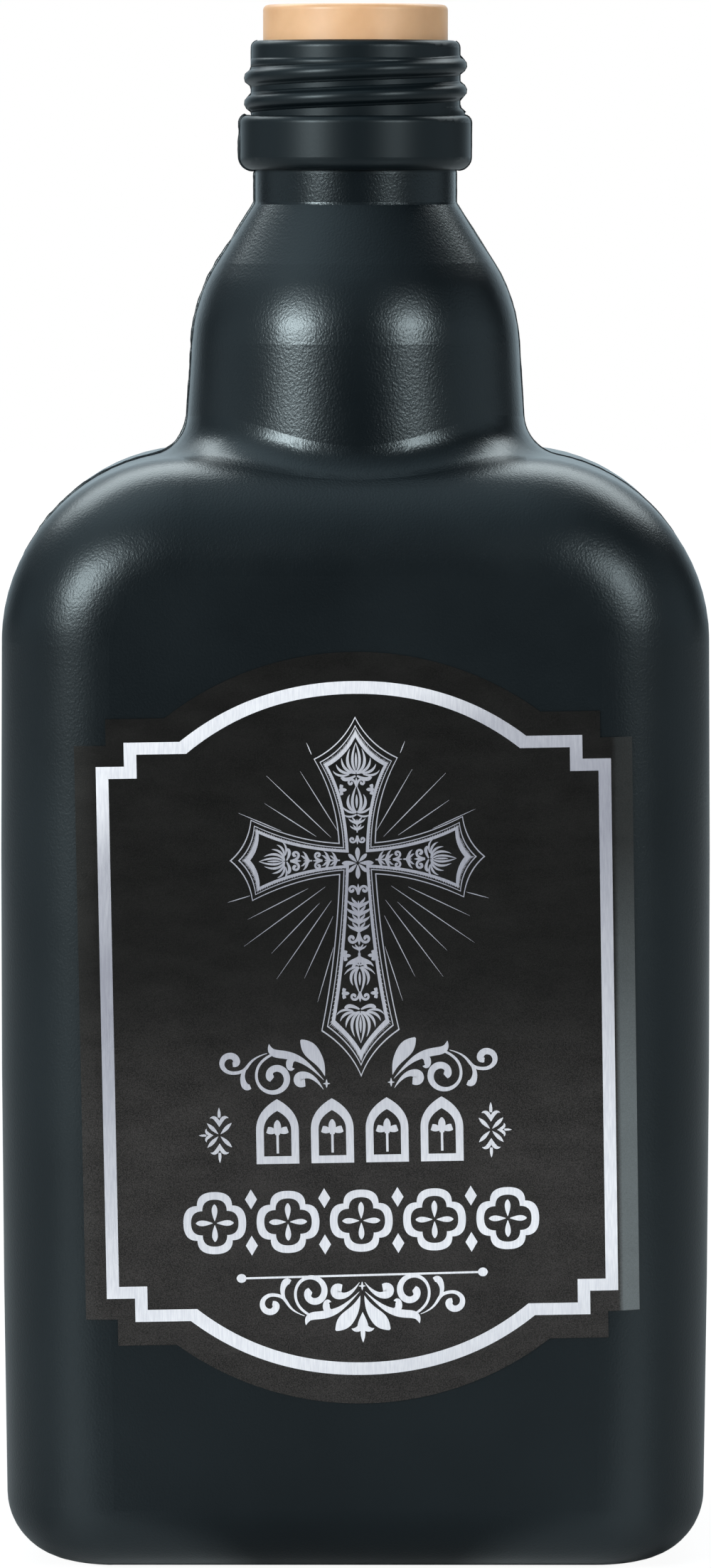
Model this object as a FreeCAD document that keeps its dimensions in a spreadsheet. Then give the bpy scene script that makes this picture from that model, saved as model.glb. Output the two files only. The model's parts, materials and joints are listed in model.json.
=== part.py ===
import FreeCAD, Part
import math
import os
import Sketcher

# A flat-sided plastic bottle with a bell neck, a push-in stopper and a
# die-cut label. Millimetres, +Z up, origin on the floor under the neck's
# axis, the labelled face towards -Y.

SIZES = {
    # Flat-sided body
    "base_width": 88.0,
    "shoulder_width": 88.0,
    "side_bow": 4200.0,
    "body_depth": 60.0,
    "shoulder_height": 139.2,
    "shoulder_radius": 23.0,
    "edge_radius": 14.0,
    "heel_radius": 8.5,
    "wall": 1.4,
    # Pushed-up base inside the standing ring
    "pushup_depth": 2.4,
    "standing_ring": 2.8,
    "pushup_corner": 2.7,
    "pushup_blend": 1.6,
    # Bell between the body and the neck
    "bell_foot_radius": 22.2,
    "bell_sink": 8.0,
    "bell_top_radius": 20.4,
    "bell_flank": 19.5,
    "bell_rise": 12.0,
    "dome_radius": 21.0,
    "foot_blend": 5.4,
    # Neck, collar and the plain cylinder that carries the screw thread
    "neck_radius": 12.75,
    "neck_length": 4.2,
    "crease_blend": 0.6,
    "collar_radius": 14.65,
    "collar_length": 6.8,
    "collar_edge": 0.9,
    "collar_underedge": 1.6,
    "finish_radius": 13.2,
    "finish_length": 9.45,
    "lip_edge": 0.9,
    "bore_radius": 10.6,
    "mouth_chamfer": 0.4,
    # Push-in stopper
    "head_radius": 11.7,
    "head_height": 4.5,
    "head_edge": 0.7,
    "crown": 1.8,
    "plug_length": 13.0,
    "plug_wall": 1.4,
    "plug_tip": 0.8,
    "seal_clearance": 0.05,
    "seal_ring_height": 0.45,
    "seal_ring_count": 3,
    "seal_ring_first": 3.2,
    "seal_ring_pitch": 3.4,
    # Label film and the thin layer of adhesive behind it
    "film": 0.15,
    "adhesive": 0.03,
    "label_width": 68.9,
    "label_side": 71.6,
    "label_step_width": 3.95,
    "label_step_height": 3.3,
    "label_arch_width": 46.4,
    "label_arch_rise": 7.8,
    "label_centre": 69.0,
    "label_shift": 0.3,
    "label_turn": 1.0,
}

# How close a sampled point has to lie to the place where an edge is looked for,
# how many points of an edge are sampled, and the size below which a place is
# taken as lying on an axis.
NEAR = 0.02
SAMPLES = 5
ON_AXIS = 1e-9

doc = FreeCAD.newDocument("holy_water_bottle")
dims = doc.addObject("Spreadsheet::Sheet", "dims")
for row, (alias, size) in enumerate(SIZES.items(), start=1):
    dims.set(f"A{row}", alias)
    dims.set(f"B{row}", str(size))
    dims.setAlias(f"B{row}", alias)
doc.recompute()


# Heights of the neck's steps, each built up from the sizes below it.
BELL_ROOT = "dims.shoulder_height - dims.bell_sink"
BELL_CORNER = "dims.shoulder_height + dims.bell_flank"
NECK_BASE = f"{BELL_CORNER} + dims.bell_rise"
COLLAR_BASE = f"{NECK_BASE} + dims.neck_length"
COLLAR_TOP = f"{COLLAR_BASE} + dims.collar_length"
LIP = f"{COLLAR_TOP} + dims.finish_length"


def size_of(expression):
    """The number that an expression of the sheet's sizes gives."""
    return float(dims.evalExpression(expression))


def new_body(name):
    return doc.addObject("PartDesign::Body", name)


def new_sketch(body, name, role):
    """A sketch on one of the body's own origin planes."""
    plane = next(item for item in body.Origin.OriginFeatures if item.Role == role)
    sketch = body.newObject("Sketcher::SketchObject", name)
    sketch.AttachmentSupport = (plane, [""])
    sketch.MapMode = "FlatFace"
    return sketch


def hold(sketch, kind, first, second, name, expression):
    """A dimension from one point to another, bound to an expression."""
    amount = size_of(expression)
    number = sketch.addConstraint(Sketcher.Constraint(kind, *first, *second, amount))
    sketch.renameConstraint(number, name)
    sketch.setExpression(f"Constraints.{name}", expression)


def pin(sketch, point, axis_of_zero, kind, name, expression):
    """Holds one coordinate of a point at an expression measured from the origin."""
    origin = (-1, 1)
    amount = size_of(expression)
    if abs(amount) < ON_AXIS:
        sketch.addConstraint(Sketcher.Constraint("PointOnObject", *point, axis_of_zero))
    elif amount > 0:
        hold(sketch, kind, origin, point, name, expression)
    else:
        hold(sketch, kind, point, origin, name, f"-({expression})")


def draw_outline(sketch, corners, arcs=None):
    """Closed anticlockwise outline through corners given as pairs of expressions.

    arcs gives, for the side that starts at a corner, the expression of the
    radius of an arc that bulges outwards there instead of a straight line.
    """
    arcs = arcs or {}
    points = [FreeCAD.Vector(size_of(across), size_of(up), 0) for across, up in corners]
    count = len(points)
    for index, start in enumerate(points):
        end = points[(index + 1) % count]
        if index in arcs:
            chord = end - start
            radius = size_of(arcs[index])
            rise = radius - math.sqrt(radius ** 2 - (chord.Length / 2) ** 2)
            outward = FreeCAD.Vector(chord.y, -chord.x, 0).normalize()
            sketch.addGeometry(Part.Arc(start, (start + end) * 0.5 + outward * rise, end), False)
        else:
            sketch.addGeometry(Part.LineSegment(start, end), False)
    for index in range(count):
        before = (index - 1) % count
        sketch.addConstraint(Sketcher.Constraint("Coincident", before, 2, index, 1))
    for index, (across, up) in enumerate(corners):
        pin(sketch, (index, 1), -2, "DistanceX", f"across_{index}", across)
        pin(sketch, (index, 1), -1, "DistanceY", f"up_{index}", up)
    for index, radius in arcs.items():
        number = sketch.addConstraint(Sketcher.Constraint("Radius", index, size_of(radius)))
        sketch.renameConstraint(number, f"radius_{index}")
        sketch.setExpression(f"Constraints.radius_{index}", radius)


def round_box(sketch, across, along, corner):
    """Rectangle about the origin with rounded corners, from its half sizes."""
    inner_across, inner_along = f"{across} - ({corner})", f"{along} - ({corner})"
    draw_outline(sketch, [
        (f"-({inner_across})", f"-({along})"), (inner_across, f"-({along})"),
        (across, f"-({inner_along})"), (across, inner_along),
        (inner_across, along), (f"-({inner_across})", along),
        (f"-({across})", inner_along), (f"-({across})", f"-({inner_along})"),
    ], arcs={1: corner, 3: corner, 5: corner, 7: corner})


def revolve(body, name, corners):
    """Full turn of an outline about the vertical axis."""
    sketch = new_sketch(body, f"{name}_profile", "XZ_Plane")
    draw_outline(sketch, corners)
    turn = body.newObject("PartDesign::Revolution", name)
    turn.Profile = sketch
    turn.ReferenceAxis = (sketch, ["V_Axis"])
    turn.Angle = 360
    doc.recompute()
    return turn


def edges_where(feature, test):
    """Names of a feature's edges whose every sampled point passes the test."""
    names = []
    for number, edge in enumerate(feature.Shape.Edges, start=1):
        if all(test(point) for point in edge.discretize(SAMPLES)):
            names.append(f"Edge{number}")
    return names


def ring_edges(feature, radius, height):
    """Names of the round edges at a radius and a height about the vertical axis."""
    wanted, level = size_of(radius), size_of(height)

    def on_ring(point):
        return abs(math.hypot(point.x, point.y) - wanted) < NEAR and abs(point.z - level) < NEAR

    return edges_where(feature, on_ring)


def round_edges(body, name, feature, edges, radius):
    """Fillet of named edges with a radius bound to an expression."""
    rounding = body.newObject("PartDesign::Fillet", name)
    rounding.Base = (feature, edges)
    rounding.Radius = size_of(radius)
    rounding.setExpression("Radius", radius)
    doc.recompute()
    return rounding


def make_block(body, inset):
    """Flat-sided body form, set in by an expression: slab, shoulders, long edges."""
    foot = f"dims.base_width / 2 - ({inset})"
    side = f"dims.shoulder_width / 2 - ({inset})"
    bow = f"dims.side_bow - ({inset})"
    floor = f"({inset})"
    roof = f"dims.shoulder_height - ({inset})"
    outline = new_sketch(body, f"{body.Name}_front", "XZ_Plane")
    draw_outline(outline, [(f"-({foot})", floor), (foot, floor), (side, roof), (f"-({side})", roof)],
                 arcs={1: bow, 3: bow})
    slab = body.newObject("PartDesign::Pad", f"{body.Name}_slab")
    slab.Profile = outline
    slab.Midplane = True
    slab.setExpression("Length", f"dims.body_depth - 2 * ({inset})")
    doc.recompute()

    roof_level, half_width = size_of(roof), size_of(side)
    corners = edges_where(
        slab, lambda point: abs(point.z - roof_level) < NEAR and abs(abs(point.x) - half_width) < NEAR)
    shoulders = round_edges(
        body, f"{body.Name}_shoulders", slab, corners, f"dims.shoulder_radius - ({inset})")

    face, floor_level = size_of(f"dims.body_depth / 2 - ({inset})"), size_of(floor)
    rim = edges_where(shoulders, lambda point: abs(abs(point.y) - face) < NEAR)
    floor_edges = edges_where(shoulders, lambda point: abs(point.z - floor_level) < NEAR)
    rim = [edge for edge in rim if edge not in floor_edges]
    return round_edges(body, f"{body.Name}_edges", shoulders, rim, f"dims.edge_radius - ({inset})")


def add_heel(body, feature, inset):
    """Rounding all round the foot of the body form."""
    floor_level = size_of(f"({inset})")
    loop = edges_where(feature, lambda point: abs(point.z - floor_level) < NEAR)
    return round_edges(body, f"{body.Name}_heel", feature, loop, f"dims.heel_radius - ({inset})")


def add_pushup(body, inset):
    """Raised floor inside the standing ring, grown by the inset."""
    across = f"dims.base_width / 2 - dims.heel_radius - dims.standing_ring + ({inset})"
    along = f"dims.body_depth / 2 - dims.heel_radius - dims.standing_ring + ({inset})"
    sketch = new_sketch(body, f"{body.Name}_floor", "XY_Plane")
    round_box(sketch, across, along, f"dims.pushup_corner + ({inset})")
    pushup = body.newObject("PartDesign::Pocket", f"{body.Name}_pushup")
    pushup.Profile = sketch
    pushup.Reversed = True
    pushup.setExpression("Length", f"dims.pushup_depth + ({inset})")
    doc.recompute()

    half_width, half_depth = size_of(across), size_of(along)
    ceiling = size_of(f"dims.pushup_depth + ({inset})")

    def on_ceiling_rim(point):
        inside = abs(point.x) < half_width + NEAR and abs(point.y) < half_depth + NEAR
        return inside and abs(point.z - ceiling) < NEAR

    return round_edges(
        body, f"{body.Name}_floor_blend", pushup, edges_where(pushup, on_ceiling_rim), "dims.pushup_blend")


def add_bell_foot(body, bell, foot_radius, inset):
    """Concave blend where the bell runs down into the shoulders."""
    widest, root = size_of(foot_radius), size_of(BELL_ROOT)
    narrowest = size_of(f"dims.bell_top_radius - ({inset})")
    roof = size_of(f"dims.shoulder_height - ({inset})")

    def on_seam(point):
        reach = math.hypot(point.x, point.y)
        return narrowest < reach < widest + NEAR and root + NEAR < point.z < roof + NEAR

    return round_edges(
        body, f"{body.Name}_foot", bell, edges_where(bell, on_seam), f"dims.foot_blend + ({inset})")


def make_outer_form():
    """The bottle as a solid: everything that its outside skin encloses."""
    body = new_body("outer_form")
    block = make_block(body, "0")
    add_heel(body, block, "0")
    add_pushup(body, "0")
    bell = revolve(body, "outer_bell", [
        ("0", BELL_ROOT),
        ("dims.bell_foot_radius", BELL_ROOT),
        ("dims.bell_top_radius", BELL_CORNER),
        ("dims.neck_radius", NECK_BASE),
        ("dims.neck_radius", COLLAR_BASE),
        ("dims.collar_radius", COLLAR_BASE),
        ("dims.collar_radius", COLLAR_TOP),
        ("dims.finish_radius", COLLAR_TOP),
        ("dims.finish_radius", LIP),
        ("0", LIP),
    ])
    foot = add_bell_foot(body, bell, "dims.bell_foot_radius", "0")
    dome = round_edges(
        body, "dome", foot, ring_edges(foot, "dims.bell_top_radius", BELL_CORNER), "dims.dome_radius")
    crease = round_edges(
        body, "crease", dome, ring_edges(dome, "dims.neck_radius", NECK_BASE), "dims.crease_blend")
    under = round_edges(body, "collar_underedge", crease,
                        ring_edges(crease, "dims.collar_radius", COLLAR_BASE), "dims.collar_underedge")
    collar = round_edges(body, "collar_edge", under,
                         ring_edges(under, "dims.collar_radius", COLLAR_TOP), "dims.collar_edge")
    round_edges(body, "lip_edge", collar, ring_edges(collar, "dims.finish_radius", LIP), "dims.lip_edge")
    return body


def make_inner_form():
    """The space inside: body, bell and the calibrated bore with its lead-in."""
    body = new_body("inner_form")
    block = make_block(body, "dims.wall")
    add_heel(body, block, "dims.wall")
    add_pushup(body, "dims.wall")
    inner_foot = "dims.bell_foot_radius - dims.wall"
    inner_top = "dims.bell_top_radius - dims.wall"
    mouth = "dims.bore_radius + dims.mouth_chamfer"
    above = f"{LIP} + dims.wall"
    bell = revolve(body, "inner_bell", [
        ("0", BELL_ROOT),
        (inner_foot, BELL_ROOT),
        (inner_top, BELL_CORNER),
        ("dims.bore_radius", NECK_BASE),
        ("dims.bore_radius", f"{LIP} - dims.mouth_chamfer"),
        (mouth, LIP),
        (mouth, above),
        ("0", above),
    ])
    foot = add_bell_foot(body, bell, inner_foot, "dims.wall")
    round_edges(body, "inner_dome", foot, ring_edges(foot, inner_top, BELL_CORNER),
                "dims.dome_radius - dims.wall")
    return body


def make_bottle_shell():
    shell = doc.addObject("Part::Cut", "bottle_shell")
    shell.Base = make_outer_form()
    shell.Tool = make_inner_form()
    shell.Refine = True
    shell.Label = "bottle_shell"
    doc.recompute()
    return shell


def make_stopper():
    """Moulded plug: a head that sits on the lip and a hollow shank with sealing rings."""
    body = new_body("stopper")
    body.Label = "stopper"
    seal_radius = "dims.bore_radius - dims.seal_clearance"
    shank_radius = f"{seal_radius} - dims.seal_ring_height"
    hollow_radius = f"{shank_radius} - dims.plug_wall"
    head_top = f"{LIP} + dims.head_height"
    tip = f"{LIP} - dims.plug_length"
    blank = revolve(body, "stopper_blank", [
        ("0", f"{head_top} - dims.crown"),
        (hollow_radius, f"{head_top} - dims.crown"),
        (hollow_radius, tip),
        (f"{shank_radius} - dims.plug_tip", tip),
        (shank_radius, f"{tip} + dims.plug_tip"),
        (shank_radius, LIP),
        ("dims.head_radius", LIP),
        ("dims.head_radius", head_top),
        ("0", head_top),
    ])
    round_edges(body, "head_edge", blank, ring_edges(blank, "dims.head_radius", head_top), "dims.head_edge")

    ring_level = f"{LIP} - dims.seal_ring_first"
    half_ring = "dims.seal_ring_height"
    ring = revolve(body, "seal_ring", [
        (hollow_radius, f"{ring_level} - 2 * {half_ring}"),
        (shank_radius, f"{ring_level} - 2 * {half_ring}"),
        (seal_radius, f"{ring_level} - {half_ring} / 2"),
        (seal_radius, f"{ring_level} + {half_ring} / 2"),
        (shank_radius, f"{ring_level} + 2 * {half_ring}"),
        (hollow_radius, f"{ring_level} + 2 * {half_ring}"),
    ])
    rings = body.newObject("PartDesign::LinearPattern", "seal_rings")
    rings.Originals = [ring]
    rings.Direction = (ring.Profile[0], ["V_Axis"])
    rings.Reversed = True
    rings.Mode = "Extent"
    rings.setExpression("Occurrences", "dims.seal_ring_count")
    rings.setExpression("Length", "dims.seal_ring_pitch * (dims.seal_ring_count - 1)")
    body.Tip = rings
    doc.recompute()
    return body


def make_label_prism():
    """Die-cut outline with stepped corners and arched ends, run through the front half."""
    body = new_body("label_prism")
    sketch = new_sketch(body, "label_outline", "XZ_Plane")
    half = "dims.label_width / 2"
    step = f"{half} - dims.label_step_width"
    arch = "dims.label_arch_width / 2"
    side = "dims.label_side / 2"
    ledge = f"{side} + dims.label_step_height"
    rise = "dims.label_arch_rise"
    arch_radius = f"(({arch}) ^ 2 + {rise} ^ 2) / (2 * {rise})"
    draw_outline(sketch, [
        (f"-({half})", f"-({side})"), (f"-({step})", f"-({side})"), (f"-({step})", f"-({ledge})"),
        (f"-({arch})", f"-({ledge})"), (arch, f"-({ledge})"), (step, f"-({ledge})"),
        (step, f"-({side})"), (half, f"-({side})"), (half, side), (step, side), (step, ledge),
        (arch, ledge), (f"-({arch})", ledge), (f"-({step})", ledge), (f"-({step})", side),
        (f"-({half})", side),
    ], arcs={3: arch_radius, 11: arch_radius})
    sketch.setExpression("AttachmentOffset.Base.x", "dims.label_shift")
    sketch.setExpression("AttachmentOffset.Base.y", "dims.label_centre")
    sketch.setExpression("AttachmentOffset.Rotation.Angle", "dims.label_turn")
    prism = body.newObject("PartDesign::Pad", "label_run")
    prism.Profile = sketch
    prism.setExpression("Length", "dims.body_depth")
    doc.recompute()
    return body


def make_label():
    """Film that follows the front face and turns round its long edges."""
    front = new_body("film_front")
    make_block(front, "-(dims.adhesive + dims.film)")
    back = new_body("film_back")
    make_block(back, "-(dims.adhesive)")
    face = doc.addObject("Part::Common", "label_face")
    face.Base = make_label_prism()
    face.Tool = front
    label = doc.addObject("Part::Cut", "front_label")
    label.Base = face
    label.Tool = back
    label.Label = "front_label"
    doc.recompute()
    return label


def check_document():
    """Stops on any object that recomputed badly."""
    for item in doc.Objects:
        bad = [state for state in item.State if state in ("Invalid", "Error")]
        if bad:
            raise RuntimeError(f"{item.Name} is {bad}")


def export(pieces):
    """Writes each piece to its own STEP file after testing its shape."""
    for piece in pieces:
        shape = piece.Shape
        if shape.isNull() or not shape.isValid() or len(shape.Solids) != 1:
            raise RuntimeError(f"{piece.Label} is not one valid solid")
    os.makedirs("parts", exist_ok=True)
    for piece in pieces:
        shape = piece.Shape
        box = shape.BoundBox
        shape.exportStep(os.path.join("parts", f"{piece.Label}.step"))
        print(f"{piece.Label}: {shape.Volume / 1000:.2f} cm3, "
              f"x {box.XMin:.2f} to {box.XMax:.2f}, y {box.YMin:.2f} to {box.YMax:.2f}, "
              f"z {box.ZMin:.2f} to {box.ZMax:.2f}")


pieces = [make_bottle_shell(), make_stopper(), make_label()]
doc.recompute()
check_document()
export(pieces)
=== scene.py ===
# %% [markdown]
# # A holy water bottle, dressed
#
# The bottle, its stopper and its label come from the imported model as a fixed
# frame. This lesson gives them their finishes and adds what is too fine for the
# solids: the screw thread, the mould's parting line and the silver print on the
# label. Everything is in metres, +Z up, with the label towards -Y.

# %% Load the frame
import cmath
import json
import math
import bmesh
import bpy
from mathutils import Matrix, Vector, noise
from mathutils.bvhtree import BVHTree


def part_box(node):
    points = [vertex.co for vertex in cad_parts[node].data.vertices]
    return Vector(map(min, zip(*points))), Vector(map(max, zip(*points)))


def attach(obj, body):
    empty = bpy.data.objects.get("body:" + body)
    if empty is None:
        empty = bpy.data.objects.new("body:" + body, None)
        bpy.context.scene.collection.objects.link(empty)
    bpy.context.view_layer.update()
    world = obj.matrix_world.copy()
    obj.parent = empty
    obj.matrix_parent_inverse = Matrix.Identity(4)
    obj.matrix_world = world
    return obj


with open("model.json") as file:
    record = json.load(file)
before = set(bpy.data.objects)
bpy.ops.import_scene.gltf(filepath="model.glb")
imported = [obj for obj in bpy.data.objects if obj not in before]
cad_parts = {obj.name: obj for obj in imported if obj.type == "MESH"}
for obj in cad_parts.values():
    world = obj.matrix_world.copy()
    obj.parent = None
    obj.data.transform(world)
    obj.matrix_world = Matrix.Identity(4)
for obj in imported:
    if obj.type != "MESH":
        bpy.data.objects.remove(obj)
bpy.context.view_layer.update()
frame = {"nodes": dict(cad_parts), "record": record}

MM = 0.001
shell = frame["nodes"]["bottle_shell"]
stopper = frame["nodes"]["stopper"]
label = frame["nodes"]["front_label"]
mounts = {mount["name"]: mount for mount in frame["record"]["mounts"]}
LIP_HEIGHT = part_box("bottle_shell")[1][2]
ROOT_RADIUS = mounts["neck_finish"]["dims"]["r_mm"] * MM
COLLAR_TOP = LIP_HEIGHT - 9.45 * MM
print(f"lip {LIP_HEIGHT / MM:.2f} mm up, neck under the thread {ROOT_RADIUS / MM:.2f} mm in radius")


# %% [markdown]
# ## Camera
#
# The lip, the collar and the crease under the neck all look straight in the
# photograph, so the horizon is level with the neck, and yet the base looks
# curved: the camera stands at the neck's height and tilts down. A long lens at
# about 85 cm gives the same narrowing from the neck to the base.

# %% Place the camera
FRAME_HEIGHT_PX = 2204
FOCAL_PX = 9385
CAMERA_DISTANCE = 0.850
CAMERA_HEIGHT = 0.17835
TILT_DOWN = math.radians(5.49)

camera_data = bpy.data.cameras.new("camera")
camera_data.sensor_fit = "VERTICAL"
camera_data.sensor_height = 24
camera_data.lens = camera_data.sensor_height * FOCAL_PX / FRAME_HEIGHT_PX
camera = bpy.data.objects.new("camera", camera_data)
camera.location = (0, -CAMERA_DISTANCE, CAMERA_HEIGHT)
camera.rotation_euler = (math.pi / 2 - TILT_DOWN, 0, 0)
bpy.context.scene.collection.objects.link(camera)
bpy.context.scene.camera = camera
bpy.context.scene.view_settings.view_transform = "Standard"
print(f"camera lens {camera_data.lens:.1f} mm on a {camera_data.sensor_height} mm high sensor")


# %% [markdown]
# ## Helpers for node materials
#
# A moulded or printed surface is never one flat colour. Each finish below is a
# Principled shader whose colour, roughness and bump come from noise on Object
# coordinates, so that the grain stays on the surface in every view. The helpers
# only keep the node wiring short.

# %% Node helpers
def new_finish(name):
    """A material, its node tree and its Principled shader."""
    finish = bpy.data.materials.new(name)
    finish.use_nodes = True
    tree = finish.node_tree
    return finish, tree, tree.nodes["Principled BSDF"]


def feed(tree, node, inputs):
    """Fills a node's inputs, each with a value or from a socket."""
    for key, value in inputs.items():
        if isinstance(value, bpy.types.NodeSocket):
            tree.links.new(value, node.inputs[key])
        else:
            node.inputs[key].default_value = value


def add_node(tree, kind, settings=None, inputs=None):
    """One node with its settings and inputs."""
    node = tree.nodes.new(kind)
    for key, value in (settings or {}).items():
        setattr(node, key, value)
    feed(tree, node, inputs or {})
    return node


def axes(tree, names, kind="Object"):
    """Sockets of the named coordinates, such as X and Z, of the point that is shaded."""
    place = add_node(tree, "ShaderNodeTexCoord")
    split = add_node(tree, "ShaderNodeSeparateXYZ", inputs={"Vector": place.outputs[kind]})
    return [split.outputs[name] for name in names]


def calc(tree, operation, *values):
    """Result of one sum; each value may be a number or a socket."""
    return add_node(tree, "ShaderNodeMath", {"operation": operation}, dict(enumerate(values))).outputs[0]


def object_noise(tree, feature, detail=2.0, stretch=(1, 1, 1)):
    """Noise on Object coordinates whose features are about feature metres across."""
    place = add_node(tree, "ShaderNodeTexCoord")
    mapping = add_node(tree, "ShaderNodeMapping", inputs={
        "Vector": place.outputs["Object"], "Scale": [axis / feature for axis in stretch]})
    grain = add_node(tree, "ShaderNodeTexNoise", inputs={
        "Vector": mapping.outputs["Vector"], "Scale": 1.0, "Detail": detail, "Roughness": 0.55})
    return grain.outputs["Fac"]


def span(tree, value, low, high, at_low=0.3, at_high=0.7):
    """Maps a value onto a range; the usual ends are those of a noise."""
    node = add_node(tree, "ShaderNodeMapRange", inputs={
        "Value": value, "From Min": at_low, "From Max": at_high, "To Min": low, "To Max": high})
    return node.outputs["Result"]


def ramp_of(tree, value, stops):
    """Colour that runs with a value through stops of (position, colour)."""
    ramp = add_node(tree, "ShaderNodeValToRGB", inputs={"Fac": value})
    marks = ramp.color_ramp.elements
    while len(marks) < len(stops):
        marks.new(0.5)
    for mark, (position, colour) in zip(marks, stops):
        mark.position = position
        mark.color = (*colour, 1)
    return ramp.outputs["Color"]


def two_tone(tree, value, dark, light, at_dark=0.35, at_light=0.65):
    """Colour that runs from dark to light with a noise value."""
    return ramp_of(tree, value, [(at_dark, dark), (at_light, light)])


def mix_colours(tree, share, first, second, way="MIX"):
    """Colour that runs from first to second with share, or the two multiplied."""
    mix = add_node(tree, "ShaderNodeMix", {"data_type": "RGBA", "blend_type": way},
                   {"Factor": share, 6: first, 7: second})
    return mix.outputs[2]


def mix_values(tree, share, first, second):
    """Value that runs from first to second with share."""
    mix = add_node(tree, "ShaderNodeMix", {"data_type": "FLOAT"}, {"Factor": share, "A": first, "B": second})
    return mix.outputs["Result"]


def grey_of(tree, value):
    """Grey colour of one value."""
    grey = add_node(tree, "ShaderNodeCombineColor", inputs={"Red": value, "Green": value, "Blue": value})
    return grey.outputs["Color"]


def stack_bumps(tree, shader, layers):
    """Bump layers, each a height socket and its depth in metres, into the shader."""
    normal = None
    for height, depth in layers:
        inputs = {"Height": height, "Distance": depth, "Strength": 1.0}
        if normal:
            inputs["Normal"] = normal
        normal = add_node(tree, "ShaderNodeBump", inputs=inputs).outputs["Normal"]
    feed(tree, shader, {"Normal": normal})


def dress(obj, finish):
    """Puts one finish in an object's slots."""
    obj.data.materials.clear()
    obj.data.materials.append(finish)


print("node helpers ready")


# %% [markdown]
# ## Black bottle plastic
#
# Blow-moulded polyethylene takes the mould's blasted skin: close up its gloss
# breaks into a fine orange peel of about a quarter of a millimetre, drawn out a
# little along the height, over slower waves where the wall cooled unevenly. The
# colour is a blue-black that hardly varies, and the body's gloss is a little
# duller than the bell's. From the collar up the neck was pressed to size against
# smooth steel, so there the peel is nearly gone and the gloss is duller still. A
# step on the height in Object coordinates parts the two.

# %% Black plastic
PEEL_SIZE = 0.27 * MM
PEEL_DEPTH = 0.030 * MM
PEEL_LEFT_ON_COLLAR = 0.15
WAVE_SIZE = 11 * MM
WAVE_DEPTH = 0.05 * MM
TONE_SIZE = 24 * MM
SMOOTH_FROM = LIP_HEIGHT - 16.3 * MM
STEP_HEIGHT = 0.4 * MM
BLOWN_DARK, BLOWN_LIGHT = (0.0015, 0.0030, 0.0042), (0.0027, 0.0048, 0.0063)
PRESSED_COLOUR = (0.0024, 0.0048, 0.0063, 1)
PRESSED_ROUGHNESS = 0.38
DULL_BELOW, BRIGHT_ABOVE = 125 * MM, 137 * MM
BODY_DULLER_BY = 0.06
BLOWN_SHEEN, BODY_SHEEN, PRESSED_SHEEN = 0.50, 0.40, 0.33
COOL_SHEEN = (0.90, 0.98, 1.0, 1)


def make_black_plastic(name):
    finish, tree, shader = new_finish(name)
    slow = object_noise(tree, TONE_SIZE, detail=3)
    height = axes(tree, "Z")[0]
    pressed = span(tree, height, 0, 1, at_low=SMOOTH_FROM - STEP_HEIGHT, at_high=SMOOTH_FROM)
    blown = two_tone(tree, slow, BLOWN_DARK, BLOWN_LIGHT)
    duller = span(tree, height, BODY_DULLER_BY, 0, at_low=DULL_BELOW, at_high=BRIGHT_ABOVE)
    blown_rough = calc(tree, "ADD", span(tree, slow, 0.25, 0.31), duller)
    blown_sheen = span(tree, height, BODY_SHEEN, BLOWN_SHEEN, at_low=DULL_BELOW, at_high=BRIGHT_ABOVE)
    feed(tree, shader, {
        "Base Color": mix_colours(tree, pressed, blown, PRESSED_COLOUR),
        "Roughness": mix_values(tree, pressed, blown_rough, PRESSED_ROUGHNESS),
        "Specular IOR Level": mix_values(tree, pressed, blown_sheen, PRESSED_SHEEN),
        "Specular Tint": COOL_SHEEN, "IOR": 1.52})
    peel = object_noise(tree, PEEL_SIZE, detail=1.5, stretch=(1, 1, 0.8))
    peel_left = span(tree, pressed, 1, PEEL_LEFT_ON_COLLAR, at_low=0, at_high=1)
    wave = object_noise(tree, WAVE_SIZE, detail=1.0, stretch=(1, 1, 0.5))
    stack_bumps(tree, shader, [(wave, WAVE_DEPTH), (calc(tree, "MULTIPLY", peel, peel_left), PEEL_DEPTH)])
    return finish


black_plastic = make_black_plastic("black_plastic")
dress(shell, black_plastic)
print("black plastic on bottle_shell")


# %% [markdown]
# ## Tan stopper plastic
#
# The stopper is injection moulded, so it is smoother and duller than the bottle,
# with a faint mottling of the pigment. A little light passes into its pale rim,
# which a small subsurface weight stands for.

# %% Tan plastic
TAN_DARK, TAN_LIGHT = (0.715, 0.385, 0.197), (0.790, 0.445, 0.235)


def make_tan_plastic(name):
    finish, tree, shader = new_finish(name)
    mottle = object_noise(tree, 6 * MM, detail=4)
    feed(tree, shader, {
        "Base Color": two_tone(tree, mottle, TAN_DARK, TAN_LIGHT),
        "Roughness": span(tree, mottle, 0.36, 0.46),
        "Subsurface Weight": 0.15, "Subsurface Radius": (1.0, 0.6, 0.35), "Subsurface Scale": 0.6 * MM})
    stack_bumps(tree, shader, [(object_noise(tree, 0.25 * MM, detail=1), 0.004 * MM)])
    return finish


dress(stopper, make_tan_plastic("tan_plastic"))
print("tan plastic on stopper")
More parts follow.
